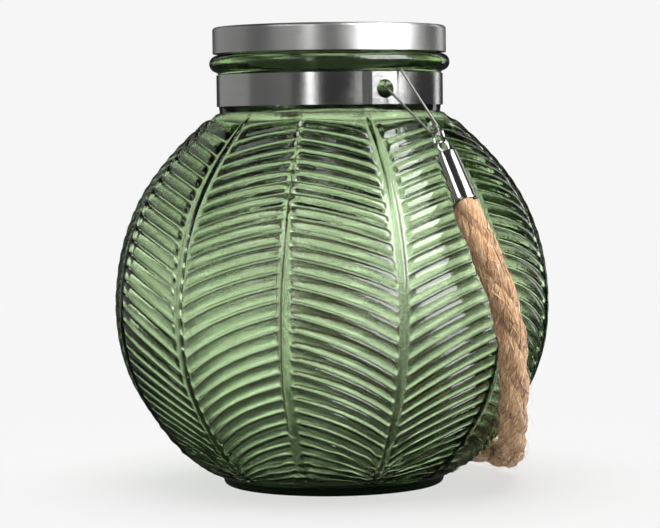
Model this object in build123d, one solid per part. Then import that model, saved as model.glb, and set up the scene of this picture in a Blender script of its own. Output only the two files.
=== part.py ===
from build123d import *
import math
import os

# Jar lantern: round pressed-glass jar, screw lid with a solar light, neck band with two
# ears, and a rope handle that hangs down the +X side.
# Millimetres. +Z up, origin on the floor under the jar's axis, ears on -Y (front) and +Y (back).

# ---- jar ----
FOOT_R = 47.5
FOOT_H = 3.4
FOOT_ROUND = 2.0
RECESS_R = (40.0, 42.5)  # recess under the floor, at its roof and at its edge
BELLY_Z = 78.4
BODY_OUTLINE = [  # radius, height, from the foot to the shoulder
    (50.8, 4.6),
    (61.6, 11.8),
    (75.3, 26.8),
    (87.5, 47.5),
    (92.9, BELLY_Z),
    (89.0, 104.2),
    (80.0, 124.9),
    (66.2, 142.9),
    (55.5, 153.3),
    (50.0, 158.2),
]
WALL_SCALE = 0.958  # the hollow is the outline shrunk about the middle of the belly
FLOOR_TOP = 7.2
FLOOR_FLAT_R = 44.0
FLOOR_DIP = 0.1  # slope of the inner floor where the hollow's curve meets it
UNDERSIDE_Z = 1.2
NECK_R = 47.7
NECK_START_Z = 161.6
MOUTH_R = 43.2
MOUTH_END_Z = 158.0  # foot of the straight mouth, where the hollow opens out
MOUTH_BEVEL = 0.8
BEAD_R = 51.5
BEAD_Z = 180.2
BEAD_HALF = 3.7
FINISH_R = 46.6
RIM_Z = 191.7
LIP_ROUND = 1.2
QUARTER_CUT = 1 - math.sqrt(0.5)  # share of the radius between a quarter round and its corner

# ---- lid thread: four starts, right hand ----
STARTS = 4
THREAD_LEAD = 16.0
RIDGE_R = 47.8
RIDGE_HALF = 0.7
RIDGE_ARC = 60.0
RIDGE_Z = 187.2
LUG_R = 46.95
LUG_ARC = 36.0
LUG_DROP = 1.75  # lug centre line below the ridge centre line
LUG_HALF = 0.65
THREAD_FLANK = 0.35
THREAD_ROOT = 0.3  # how far a thread bar is sunk into the wall it stands on

# ---- neck band ----
BAND_Z = (162.0, 175.4)
BAND_R = 48.5
SHEET = 0.8
EAR_Y = 52.0
EAR_HALF = 6.0
EAR_ROOT_HALF = 9.2
EAR_SINK = 2.0  # the ears' roots lie inside the band's outer face
EAR_INNER_SHARE = 0.9  # half width lost inside an ear for each millimetre of sheet
EAR_HOLE_R = 3.9
HINGE_Z = 168.3

# ---- lid ----
LID_R = 50.0
LID_BOTTOM = 184.5
LID_TOP = 195.7
LID_EDGE_R = 1.4
CURL_R = 48.4
CURL_H = 0.5
INSERT_IN_R = 48.1
INSERT_HOLE_H = 1.5
GASKET_GAP = (1.2, 0.2)  # from the insert's wall, and from the jar's mouth
WEB_Z = 192.9
WEB_HOLE_R = 31.6
WINDOW_R = 30.2
WINDOW_HOLE_R = 30.5
WINDOW_FLANGE_R = 31.4
WINDOW_FLANGE_T = 1.2
PANEL_SIDE = 40.0
PANEL_T = 1.6

# ---- light module under the lid ----
HOUSING_R = 36.0
HOUSING_WALL = 1.5
HOUSING_BOTTOM = 179.5
HOUSING_FLANGE_R = 40.5
SCREW_PCD_R = 38.2
SCREW_ANGLES = (30, 150, 270)
SCREW_SHANK_R = 1.0
SCREW_HEAD = (1.9, 1.3)  # radius and height
SCREW_TIP_GAP = 0.1
DOOR_SCREW_SHANK_R = 0.9
DOOR_SCREW_HEAD = (1.8, 1.2)
DOOR_SCREW_DEPTH = 4.0
DOOR_BOSS_R = 2.4
DOOR_BOSS_H = 5.0
DOOR_BOSS_HOLE_H = 3.5
RECESS_SLOT = (0.4, 0.8)  # width and height of the box that cuts half of a cross recess
BATTERY_R = 5.25
BATTERY_Y = -16.0
BATTERY_Z = 186.4
BATTERY_NUB_R = 1.9
BATTERY_EDGE = 0.4
BATTERY_X = (-20.0, 22.7)
CONTACT_X = (-24.5, 23.7)
CONTACT_T = 0.4
CONTACT_HALF = 4.0
CONTACT_Z = (BATTERY_Z - 4.6, BATTERY_Z + 4.0)
SPRING_COIL_R = 2.6
SPRING_WIRE_R = 0.3
SPRING_TURNS = 3
CRADLE_T = 1.2
CRADLE_H = 8.0
CRADLE_HALF = 5.0
BATTERY_SLOT_X = (-22.0, 21.0)
BATTERY_SLOT_Y = (BATTERY_Y - 5.0, BATTERY_Y + 4.6)
DOOR_X = (-26.0, 26.0)
DOOR_Y = (-22.5, -9.5)
DOOR_T = 1.2
DOOR_EAR = (0.0, -7.0)
DOOR_EAR_R = 3.4
DOOR_CORNER = 1.5
BOARD_Z = 184.0
BOARD_T = 1.6
BOARD_X = 22.0
BOARD_Y = (-2.0, 24.0)
BOARD_CORNER = 1.0
POST_R = 2.0
POSTS = [(x, y) for x in (-19.0, 19.0) for y in (1.0, 21.0)]
LED_R = 2.5
LED_TIP_Z = 174.6
LED_GAP = 0.1
LED_RIM = (0.4, 1.0)  # how far the flange stands out, and its height
LED_LEG = (1.27, 0.25)  # distance of a leg from the middle, and its radius
LED_SPOTS = [(x, y) for x in (-8.0, 8.0) for y in (5.0, 17.0)]
SWITCH_Y = 28.5
SWITCH_TRAVEL = 2.5
SWITCH_BODY = (4.5, 2.2, 4.0)  # half length, half width and height
SWITCH_FOOT = (1.9, 1.05, (0.4, 2.4))  # half length, half width, and heights over the housing's floor
SWITCH_STEM = (1.0, 0.7, 1.5)  # half length, half width, and how far it stands out below
SWITCH_GAP = 0.25

# ---- wires between the panel, the battery and the board ----
LEAD_R = 0.5
LEAD_BEND = 1.2
PANEL_LEAD_X = 3.0
PANEL_LEAD_Z = (188.6, 187.6)
PANEL_LEAD_Y = (4.0, 8.0)
BATTERY_LEAD_X = 19.0
BATTERY_LEAD_Y = 1.0
BATTERY_LEAD_RUN = 6.0
BATTERY_LEAD_Z = (188.0, 188.6)
LEAD_BITE = 0.15  # how far a battery lead's axis lies inside its contact

# ---- parts on the board: coil, driver and capacitor ----
COIL_SPOT = (-12.0, 11.0)
COIL_R = (3.0, 2.2)  # flanges and winding
COIL_Z = (0.8, 4.2, 5.0)
DRIVER = ((8.0, 13.0), (9.0, 12.9), 1.5)
CAPACITOR = (2.0, 5.0, 0.0, 19.0)  # radius, height and place

# ---- rope handle ----
ROPE_D = 12.0
ROPE_CORE_R = 4.2
FERRULE_LENGTH = 23.4
FERRULE_TOP_R = 4.65
FERRULE_MOUTH_R = 5.4
FERRULE_END_T = 1.0
FERRULE_EDGE = 0.6
ROPE_CORE_GAP = 3.0  # from the rope's end to the ferrule's closed end
ROPE_FRONT = [  # from the front ferrule's mouth down beside the glass
    (17.2, -87.6, 121.5),
    (18.5, -94.5, 110.0),
    (23.2, -98.6, 95.5),
    (29.4, -98.9, 79.0),
    (34.2, -95.6, 62.5),
    (38.6, -88.6, 46.5),
    (44.6, -77.6, 31.5),
    (53.4, -60.8, 19.8),
    (63.4, -42.5, 12.8),
    (74.2, -20.5, 9.0),
]
ROPE_BACK = [  # and from the low middle up to the back ferrule's mouth
    (74.8, 21.0, 8.6),
    (64.6, 42.8, 12.4),
    (54.0, 61.4, 19.6),
    (45.4, 77.4, 31.2),
    (38.6, 88.4, 46.0),
    (34.6, 96.2, 62.0),
    (29.8, 99.2, 79.5),
    (23.4, 98.6, 95.5),
    (18.5, 94.5, 110.0),
    (17.2, 87.6, 121.5),
]
RUN_SHARE = 0.45

# ---- wire loop, jump ring and eye between the ear and the ferrule ----
HANGER_R = 0.5
HANGER_FRONT = [  # from behind the ear over its top edge, down, and back through the hole
    (2.5, -50.5, 172.8),
    (4.6, -50.5, 176.0),
    (6.6, -53.2, 176.0),
    (15.8, -69.0, 151.5),
    (12.8, -68.4, 149.3),
    (0.6, -53.4, 167.9),
    (0.0, -50.5, 168.9),
    (2.3, -50.5, 172.5),
]
HANGER_CORNERS = [0.7, 0.7, 1.5, 1.5, 0.9, 0.9]
RING_DROP = 3.0  # ring's centre below the middle of the wire loop's end
RING_R = 4.4
RING_WIRE_R = 0.55
RING_TURN = 60.0
EYE_R = 2.3
EYE_WIRE_R = 0.6
EYE_TURN = -32.0
EYE_STAND = 3.2  # eye's centre above the ferrule's closed end
LINK_FACING = (-0.44, -0.9, 0.0)  # the way that a link with no turn faces

os.makedirs("parts", exist_ok=True)


def revolve_outline(edges):
    """Turn a closed outline in the XZ plane a full turn about the Z axis."""
    outline = make_face(edges)
    return revolve(outline, Axis.Z, 360)


def ring(outer, inner, low, high):
    """Plain ring about the Z axis between two heights."""
    blank = Cylinder(outer, high - low, align=(Align.CENTER, Align.CENTER, Align.MIN))
    hole = Cylinder(inner, high - low, align=(Align.CENTER, Align.CENTER, Align.MIN))
    return Pos(0, 0, low) * (blank - hole)


def disc(radius, low, high, x=0.0, y=0.0):
    """Upright round bar between two heights."""
    bar = Cylinder(radius, high - low, align=(Align.CENTER, Align.CENTER, Align.MIN))
    return Pos(x, y, low) * bar


def block(x, y, z):
    """Box from three (low, high) pairs."""
    size = [high - low for low, high in (x, y, z)]
    corner = (Align.MIN, Align.MIN, Align.MIN)
    return Pos(x[0], y[0], z[0]) * Box(*size, align=corner)


def helix_bar(radius, depth, half, arc, height, start):
    """Short bar of one thread start; depth is positive outward and negative inward."""
    path = Helix(THREAD_LEAD, THREAD_LEAD * arc / 360, radius)
    root = -math.copysign(THREAD_ROOT, depth)
    top_half = half - THREAD_FLANK
    section = make_face(
        Polyline((root, -half), (depth, -top_half), (depth, top_half), (root, half), close=True)
    )
    seat = Plane(origin=path @ 0, x_dir=(1, 0, 0), z_dir=path % 0)
    bar = sweep(seat * section, path=path, is_frenet=True)
    return Pos(0, 0, height) * Rot(0, 0, start) * bar


def mirrored(shape):
    """The back copy of a front piece."""
    return mirror(shape, about=Plane.XZ)


def hollow_point(point):
    """Point of the inner wall that faces an outline point."""
    radius, height = point
    return (radius * WALL_SCALE, 0, BELLY_Z + (height - BELLY_Z) * WALL_SCALE)


def glass_jar():
    outer = [(radius, 0, height) for radius, height in BODY_OUTLINE]
    inner = [hollow_point(point) for point in reversed(BODY_OUTLINE[1:-1])]
    body = Spline(*outer)
    neck_in = Spline(outer[-1], (NECK_R, 0, NECK_START_Z), tangents=[body % 1, (0, 0, 1)])
    hollow = Spline(
        (MOUTH_R, 0, MOUTH_END_Z),
        *inner,
        (FLOOR_FLAT_R, 0, FLOOR_TOP),
        tangents=[(0, 0, -1), (-1, 0, -FLOOR_DIP)],
    )
    roof_r, recess_r = RECESS_R
    foot_cut = FOOT_ROUND * QUARTER_CUT
    bead_low = (NECK_R, 0, BEAD_Z - BEAD_HALF)
    bead_high = (FINISH_R, 0, BEAD_Z + BEAD_HALF)
    lip = LIP_ROUND
    lip_cut = lip * QUARTER_CUT
    bevel = MOUTH_BEVEL
    edges = [
        Line((0, 0, UNDERSIDE_Z), (roof_r, 0, UNDERSIDE_Z)),
        Line((roof_r, 0, UNDERSIDE_Z), (recess_r, 0, 0)),
        Line((recess_r, 0, 0), (FOOT_R - FOOT_ROUND, 0, 0)),
        ThreePointArc(
            (FOOT_R - FOOT_ROUND, 0, 0),
            (FOOT_R - foot_cut, 0, foot_cut),
            (FOOT_R, 0, FOOT_ROUND),
        ),
        Line((FOOT_R, 0, FOOT_ROUND), (FOOT_R, 0, FOOT_H)),
        Line((FOOT_R, 0, FOOT_H), outer[0]),
        body,
        neck_in,
        Line((NECK_R, 0, NECK_START_Z), bead_low),
        ThreePointArc(bead_low, (BEAD_R, 0, BEAD_Z), bead_high),
        Line(bead_high, (FINISH_R, 0, RIM_Z - lip)),
        ThreePointArc(
            (FINISH_R, 0, RIM_Z - lip),
            (FINISH_R - lip_cut, 0, RIM_Z - lip_cut),
            (FINISH_R - lip, 0, RIM_Z),
        ),
        Line((FINISH_R - lip, 0, RIM_Z), (MOUTH_R + bevel, 0, RIM_Z)),
        Line((MOUTH_R + bevel, 0, RIM_Z), (MOUTH_R, 0, RIM_Z - bevel)),
        Line((MOUTH_R, 0, RIM_Z - bevel), (MOUTH_R, 0, MOUTH_END_Z)),
        hollow,
        Line((FLOOR_FLAT_R, 0, FLOOR_TOP), (0, 0, FLOOR_TOP)),
        Line((0, 0, FLOOR_TOP), (0, 0, UNDERSIDE_Z)),
    ]
    jar = revolve_outline(edges)
    for start in range(STARTS):
        turn = start * 360 / STARTS
        depth = RIDGE_R - FINISH_R
        jar += helix_bar(FINISH_R, depth, RIDGE_HALF, RIDGE_ARC, RIDGE_Z, turn)
    return jar


def ear_outline(inset):
    """Trapezoid of both ears at a distance inside the band's outer face."""
    root = BAND_R - EAR_SINK
    near = EAR_HALF - inset * EAR_INNER_SHARE
    wide = EAR_ROOT_HALF - inset
    outlines = []
    for side in (-1, 1):
        trapezoid = Polyline(
            (-wide, side * root),
            (-near, side * (EAR_Y - inset)),
            (near, side * (EAR_Y - inset)),
            (wide, side * root),
            close=True,
        )
        outlines.append(make_face(trapezoid))
    return outlines


def neck_band():
    outer = Circle(BAND_R)
    for trapezoid in ear_outline(0):
        outer += trapezoid
    inner = Circle(NECK_R)
    for trapezoid in ear_outline(SHEET):
        inner += trapezoid
    low, high = BAND_Z
    band = Pos(0, 0, low) * extrude(outer - inner, amount=high - low)
    hole = Rot(90, 0, 0) * Cylinder(EAR_HOLE_R, 3 * EAR_Y)
    return band - Pos(0, 0, HINGE_Z) * hole


def lid_cap():
    inside = LID_R - SHEET
    under = LID_TOP - SHEET
    bend = LID_EDGE_R
    cut = bend * QUARTER_CUT
    edges = [
        Line((CURL_R, 0, LID_BOTTOM), (LID_R, 0, LID_BOTTOM)),
        Line((LID_R, 0, LID_BOTTOM), (LID_R, 0, LID_TOP - bend)),
        ThreePointArc(
            (LID_R, 0, LID_TOP - bend),
            (LID_R - cut, 0, LID_TOP - cut),
            (LID_R - bend, 0, LID_TOP),
        ),
        Line((LID_R - bend, 0, LID_TOP), (WINDOW_HOLE_R, 0, LID_TOP)),
        Line((WINDOW_HOLE_R, 0, LID_TOP), (WINDOW_HOLE_R, 0, under)),
        Line((WINDOW_HOLE_R, 0, under), (inside, 0, under)),
        Line((inside, 0, under), (inside, 0, LID_BOTTOM + CURL_H)),
        Line((inside, 0, LID_BOTTOM + CURL_H), (CURL_R, 0, LID_BOTTOM + CURL_H)),
        Line((CURL_R, 0, LID_BOTTOM + CURL_H), (CURL_R, 0, LID_BOTTOM)),
    ]
    return revolve_outline(edges)


def lid_insert():
    outside = LID_R - SHEET
    insert = ring(outside, INSERT_IN_R, LID_BOTTOM + CURL_H, LID_TOP - SHEET)
    insert += ring(outside, WEB_HOLE_R, WEB_Z, LID_TOP - SHEET)
    clear = (RIDGE_ARC - LUG_ARC) / 2
    lug_z = RIDGE_Z + THREAD_LEAD * clear / 360 - LUG_DROP
    for start in range(STARTS):
        turn = start * 360 / STARTS + clear
        depth = LUG_R - INSERT_IN_R
        insert += helix_bar(INSERT_IN_R, depth, LUG_HALF, LUG_ARC, lug_z, turn)
    for turn in SCREW_ANGLES:
        x, y = screw_spot(turn)
        insert -= disc(SCREW_SHANK_R, WEB_Z, WEB_Z + INSERT_HOLE_H, x, y)
    return insert


def screw_spot(turn):
    """Plan position of one housing screw."""
    angle = math.radians(turn)
    return SCREW_PCD_R * math.cos(angle), SCREW_PCD_R * math.sin(angle)


def lid_gasket():
    outer_gap, inner_gap = GASKET_GAP
    return ring(INSERT_IN_R - outer_gap, MOUTH_R + inner_gap, RIM_Z, WEB_Z)


def solar_window():
    flange_top = LID_TOP - SHEET
    window = disc(WINDOW_R, flange_top, LID_TOP)
    return window + disc(WINDOW_FLANGE_R, flange_top - WINDOW_FLANGE_T, flange_top)


def solar_panel():
    top = LID_TOP - SHEET - WINDOW_FLANGE_T
    half = PANEL_SIDE / 2
    return block((-half, half), (-half, half), (top - PANEL_T, top))


def switch_block(half_x, half_y, low, high, x=0.0):
    """Box about the switch's place, moved along X."""
    y = (SWITCH_Y - half_y, SWITCH_Y + half_y)
    return block((x - half_x, x + half_x), y, (low, high))


def switch_slot(half_x, low, high, room):
    """Slot that a knob of a half length slides in, with room across it."""
    half_y = room + SWITCH_GAP
    return switch_block(half_x + SWITCH_GAP + SWITCH_TRAVEL / 2, half_y, low, high)


def module_housing():
    floor_z = HOUSING_BOTTOM + HOUSING_WALL
    cup = disc(HOUSING_R, HOUSING_BOTTOM, WEB_Z)
    cup += disc(HOUSING_FLANGE_R, WEB_Z - HOUSING_WALL, WEB_Z)
    cup -= disc(HOUSING_R - HOUSING_WALL, floor_z, WEB_Z)
    for x, y in POSTS:
        cup += disc(POST_R, floor_z, BOARD_Z, x, y)
    cup += disc(DOOR_BOSS_R, floor_z, floor_z + DOOR_BOSS_H, *DOOR_EAR)
    cup -= disc(DOOR_SCREW_SHANK_R, HOUSING_BOTTOM, floor_z + DOOR_BOSS_HOLE_H, *DOOR_EAR)
    cradle_y = (BATTERY_Y - CRADLE_HALF, BATTERY_Y + CRADLE_HALF)
    for x in (CONTACT_X[0] - CRADLE_T, CONTACT_X[1] + CONTACT_T):
        cup += block((x, x + CRADLE_T), cradle_y, (floor_z, floor_z + CRADLE_H))
    cup -= block(BATTERY_SLOT_X, BATTERY_SLOT_Y, (HOUSING_BOTTOM, floor_z))
    for x, y in LED_SPOTS:
        cup -= disc(LED_R + LED_GAP, HOUSING_BOTTOM, floor_z, x, y)
    for turn in SCREW_ANGLES:
        cup -= disc(SCREW_SHANK_R, WEB_Z - HOUSING_WALL, WEB_Z, *screw_spot(turn))
    half_x, half_y, _ = SWITCH_STEM
    return cup - switch_slot(half_x, HOUSING_BOTTOM, floor_z, half_y)


def pan_screw(x, y, seat, tip, head, shank_r):
    """Cross-recessed screw, its head below its seat and its shank going up."""
    head_r, head_h = head
    screw = disc(head_r, seat - head_h, seat, x, y) + disc(shank_r, seat, tip, x, y)
    for turn in (0, 90):
        cross = Rot(0, 0, turn) * Box(head_r, *RECESS_SLOT)
        screw -= Pos(x, y, seat - head_h) * cross
    return screw


def housing_screws():
    seat = WEB_Z - HOUSING_WALL
    tip = WEB_Z + INSERT_HOLE_H - SCREW_TIP_GAP
    screws = []
    for turn in SCREW_ANGLES:
        x, y = screw_spot(turn)
        screws.append(pan_screw(x, y, seat, tip, SCREW_HEAD, SCREW_SHANK_R))
    return Compound(children=screws)


def door_screw():
    tip = HOUSING_BOTTOM + DOOR_SCREW_DEPTH
    return pan_screw(*DOOR_EAR, HOUSING_BOTTOM - DOOR_T, tip, DOOR_SCREW_HEAD, DOOR_SCREW_SHANK_R)


def battery_door():
    low = HOUSING_BOTTOM - DOOR_T
    door = block(DOOR_X, DOOR_Y, (low, HOUSING_BOTTOM))
    door = fillet(door.edges().filter_by(Axis.Z), DOOR_CORNER)
    door += disc(DOOR_EAR_R, low, HOUSING_BOTTOM, *DOOR_EAR)
    return door - disc(DOOR_SCREW_SHANK_R, low, HOUSING_BOTTOM, *DOOR_EAR)


def circuit_board():
    board = block((-BOARD_X, BOARD_X), BOARD_Y, (BOARD_Z, BOARD_Z + BOARD_T))
    return fillet(board.edges().filter_by(Axis.Z), BOARD_CORNER)


def board_components():
    top = BOARD_Z + BOARD_T
    flange_r, winding_r = COIL_R
    low, high, end = (top + height for height in COIL_Z)
    coil = disc(flange_r, top, low, *COIL_SPOT) + disc(winding_r, low, high, *COIL_SPOT)
    coil += disc(flange_r, high, end, *COIL_SPOT)
    driver_x, driver_y, driver_h = DRIVER
    driver = block(driver_x, driver_y, (top, top + driver_h))
    radius, height, x, y = CAPACITOR
    capacitor = disc(radius, top, top + height, x, y)
    return Compound(children=[coil, driver, capacitor])


def led(x, y):
    """Domed 5 mm LED with its two legs up to the board."""
    floor_z = HOUSING_BOTTOM + HOUSING_WALL
    lamp = disc(LED_R, LED_TIP_Z + LED_R, floor_z, x, y)
    lamp += Pos(x, y, LED_TIP_Z + LED_R) * Sphere(LED_R)
    rim, rim_h = LED_RIM
    lamp += disc(LED_R + rim, floor_z, floor_z + rim_h, x, y)
    reach, leg_r = LED_LEG
    for side in (-reach, reach):
        lamp += disc(leg_r, floor_z + rim_h, BOARD_Z, x + side, y)
    return lamp


def battery():
    low, high = BATTERY_X
    along = Rot(0, 90, 0)
    middle = (low + high) / 2
    cell = Pos(middle, BATTERY_Y, BATTERY_Z) * along * Cylinder(BATTERY_R, high - low)
    cell = fillet(cell.edges(), BATTERY_EDGE)
    nub = CONTACT_X[1] - high
    return cell + Pos(high + nub / 2, BATTERY_Y, BATTERY_Z) * along * Cylinder(BATTERY_NUB_R, nub)


def contact_plate(x):
    """Upright spring steel plate at one end of the battery."""
    y = (BATTERY_Y - CONTACT_HALF, BATTERY_Y + CONTACT_HALF)
    return block((x, x + CONTACT_T), y, CONTACT_Z)


def battery_contact():
    return contact_plate(CONTACT_X[1])


def battery_spring():
    """Minus contact: a plate and the coil that stands on it."""
    x = CONTACT_X[0]
    gap = BATTERY_X[0] - x - CONTACT_T
    path = Helix(gap / SPRING_TURNS, gap - SPRING_WIRE_R, SPRING_COIL_R, center=(0, 0, 0))
    section = Plane(origin=path @ 0, z_dir=path % 0) * Circle(SPRING_WIRE_R)
    coil = sweep(section, path=path, is_frenet=True)
    return contact_plate(x) + Pos(x + CONTACT_T, BATTERY_Y, BATTERY_Z) * Rot(0, 90, 0) * coil


def switch_body():
    low = HOUSING_BOTTOM + HOUSING_WALL
    half_x, half_y, height = SWITCH_BODY
    foot_x, foot_y, (_, foot_top) = SWITCH_FOOT
    body = switch_block(half_x, half_y, low, low + height)
    return body - switch_slot(foot_x, low, low + foot_top + SWITCH_GAP, foot_y)


def switch_knob():
    """Slide that sticks out below the housing, at one end of its travel."""
    low = HOUSING_BOTTOM + HOUSING_WALL
    rest = -SWITCH_TRAVEL / 2
    foot_x, foot_y, (foot_low, foot_top) = SWITCH_FOOT
    stem_x, stem_y, reach = SWITCH_STEM
    foot = switch_block(foot_x, foot_y, low + foot_low, low + foot_top, rest)
    return foot + switch_block(stem_x, stem_y, HOUSING_BOTTOM - reach, low + foot_low, rest)


def lead(points):
    """Thin insulated wire along a bent path."""
    path = FilletPolyline(*points, radius=LEAD_BEND)
    return sweep(Plane(origin=path @ 0, z_dir=path % 0) * Circle(LEAD_R), path=path)


def panel_lead(side):
    """Lead from the panel's underside to the board."""
    under = LID_TOP - SHEET - WINDOW_FLANGE_T - PANEL_T
    top = BOARD_Z + BOARD_T
    near, far = side * PANEL_LEAD_X, side * 2 * PANEL_LEAD_X
    start, end = PANEL_LEAD_Y
    high, low = PANEL_LEAD_Z
    return lead([(near, start, under), (near, start, high), (far, end, low), (far, end, top)])


def battery_lead(side):
    """Lead from a battery contact's edge to the board."""
    x = CONTACT_X[1] - LEAD_BITE if side > 0 else CONTACT_X[0] + CONTACT_T + LEAD_BITE
    far = side * BATTERY_LEAD_X
    top = BOARD_Z + BOARD_T
    edge = BATTERY_Y + CONTACT_HALF
    low, high = BATTERY_LEAD_Z
    points = [
        (x, edge, low),
        (x, edge + BATTERY_LEAD_RUN, low),
        (far, BATTERY_LEAD_Y, high),
        (far, BATTERY_LEAD_Y, top),
    ]
    return lead(points)


def ferrule_axis():
    """Unit vector along the rope's first run, from the front ferrule's closed end to its mouth."""
    return (Vector(*ROPE_FRONT[1]) - Vector(*ROPE_FRONT[0])).normalized()


def ferrule_top():
    """Middle of the front ferrule's closed end."""
    return Vector(*ROPE_FRONT[0]) - ferrule_axis() * FERRULE_LENGTH


def ferrule_front():
    """Tapered cup with a rounded closed end and a hole there for the eye's stem."""
    base = (Align.CENTER, Align.CENTER, Align.MIN)
    shell = Cone(FERRULE_TOP_R, FERRULE_MOUTH_R, FERRULE_LENGTH, align=base)
    shell = fillet(shell.edges().sort_by(Axis.Z)[0], FERRULE_EDGE)
    bore = Cylinder(ROPE_CORE_R, FERRULE_LENGTH - FERRULE_END_T, align=base)
    shell -= Pos(0, 0, FERRULE_END_T) * bore
    shell -= Cylinder(EYE_WIRE_R, FERRULE_END_T, align=base)
    return Plane(origin=ferrule_top(), z_dir=ferrule_axis()) * shell


def loop_end():
    """Middle of the wire loop's lower end."""
    return (Vector(*HANGER_FRONT[3]) + Vector(*HANGER_FRONT[4])) / 2


def hanging_line():
    """Unit vector from the wire loop's end to the ferrule."""
    return (ferrule_top() - loop_end()).normalized()


def square_to(direction, line):
    """The part of a direction that is square to a line, as a unit vector."""
    return (direction - line * direction.dot(line)).normalized()


def link_normal(turn):
    """Direction that a link's flat side faces, turned about the hanging line."""
    facing = square_to(Vector(*LINK_FACING), hanging_line())
    return facing.rotate(Axis((0, 0, 0), hanging_line()), turn)


def jump_ring_front():
    centre = loop_end() + hanging_line() * RING_DROP
    return Plane(origin=centre, z_dir=link_normal(RING_TURN)) * Torus(RING_R, RING_WIRE_R)


def ferrule_eye_front():
    """Round wire eye whose stem goes through the ferrule's closed end."""
    axis = ferrule_axis()
    centre = ferrule_top() - axis * EYE_STAND
    flat_side = square_to(link_normal(EYE_TURN), axis)
    eye = Plane(origin=centre, z_dir=flat_side) * Torus(EYE_R, EYE_WIRE_R)
    base = (Align.CENTER, Align.CENTER, Align.MIN)
    stem = Cylinder(EYE_WIRE_R, EYE_STAND - EYE_R + FERRULE_END_T, align=base)
    return eye + Plane(origin=centre + axis * EYE_R, z_dir=axis) * stem


def hanger_wire_front():
    """Wire bent into a loop whose two ends meet behind the ear."""
    path = FilletPolyline(*HANGER_FRONT, radius=HANGER_CORNERS)
    return sweep(Plane(origin=path @ 0, z_dir=path % 0) * Circle(HANGER_R), path=path)


def corner_radii(points):
    """Arc radius at each inner point of a route, as large as its two runs allow."""
    radii = []
    for before, here, after in zip(points, points[1:], points[2:]):
        arriving = Vector(*here) - Vector(*before)
        leaving = Vector(*after) - Vector(*here)
        half_turn = math.radians(arriving.get_angle(leaving)) / 2
        shorter = min(arriving.length, leaving.length)
        radii.append(RUN_SHARE * shorter / math.tan(half_turn))
    return radii


def rope_handle():
    """Rope between the ferrules' mouths, with a thinner end pressed into each bore."""
    points = ROPE_FRONT + ROPE_BACK
    radii = corner_radii(points)
    print("rope corner radii, mm:", [round(radius) for radius in radii])
    path = FilletPolyline(*points, radius=radii)
    section = Plane(origin=path @ 0, z_dir=path % 0) * Circle(ROPE_D / 2)
    rope = sweep(section, path=path)
    by_length = math.pi * (ROPE_D / 2) ** 2 * path.length
    print("rope length, mm:", round(path.length, 1))
    print("rope volume over section times length:", round(rope.volume / by_length, 4))
    base = (Align.CENTER, Align.CENTER, Align.MIN)
    core = Cylinder(ROPE_CORE_R, FERRULE_LENGTH - ROPE_CORE_GAP, align=base)
    front_core = Plane(origin=ROPE_FRONT[0], z_dir=-ferrule_axis()) * core
    return rope + front_core + mirrored(front_core)


def build_all():
    """Every node's shape by name."""
    nodes = {
        "glass_jar": glass_jar(),
        "neck_band": neck_band(),
        "lid_cap": lid_cap(),
        "lid_insert": lid_insert(),
        "lid_gasket": lid_gasket(),
        "solar_window": solar_window(),
        "solar_panel": solar_panel(),
        "module_housing": module_housing(),
        "housing_screws": housing_screws(),
        "battery_door": battery_door(),
        "door_screw": door_screw(),
        "circuit_board": circuit_board(),
        "board_components": board_components(),
        "leds": Compound(children=[led(x, y) for x, y in LED_SPOTS]),
        "battery": battery(),
        "battery_contact": battery_contact(),
        "battery_spring": battery_spring(),
        "switch_body": switch_body(),
        "switch_knob": switch_knob(),
        "panel_lead_red": panel_lead(1),
        "panel_lead_black": panel_lead(-1),
        "battery_lead_red": battery_lead(1),
        "battery_lead_black": battery_lead(-1),
        "rope_handle": rope_handle(),
    }
    paired = {
        "hanger_wire": hanger_wire_front(),
        "jump_ring": jump_ring_front(),
        "ferrule_eye": ferrule_eye_front(),
        "ferrule": ferrule_front(),
    }
    for name, shape in paired.items():
        nodes[name + "_front"] = shape
        nodes[name + "_back"] = mirrored(shape)
    return nodes


for node, shape in build_all().items():
    export_step(shape, f"parts/{node}.step")
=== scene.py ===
import math
import random

import bpy
import numpy as np
from mathutils import Matrix, Vector, noise


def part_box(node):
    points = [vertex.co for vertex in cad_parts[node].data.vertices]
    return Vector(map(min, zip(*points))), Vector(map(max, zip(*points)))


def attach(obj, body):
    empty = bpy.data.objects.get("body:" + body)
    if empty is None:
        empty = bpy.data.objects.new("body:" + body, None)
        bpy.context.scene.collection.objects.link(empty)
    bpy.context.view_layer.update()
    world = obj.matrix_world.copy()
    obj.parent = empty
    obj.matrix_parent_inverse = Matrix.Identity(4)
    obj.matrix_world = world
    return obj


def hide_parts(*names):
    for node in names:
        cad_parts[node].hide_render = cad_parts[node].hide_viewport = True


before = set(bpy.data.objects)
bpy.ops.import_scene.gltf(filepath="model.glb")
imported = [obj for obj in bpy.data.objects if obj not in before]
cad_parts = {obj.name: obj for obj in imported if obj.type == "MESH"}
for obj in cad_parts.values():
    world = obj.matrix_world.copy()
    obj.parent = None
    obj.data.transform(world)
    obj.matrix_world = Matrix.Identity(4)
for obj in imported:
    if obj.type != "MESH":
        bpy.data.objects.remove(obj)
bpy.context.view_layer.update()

MM = 0.001

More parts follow.
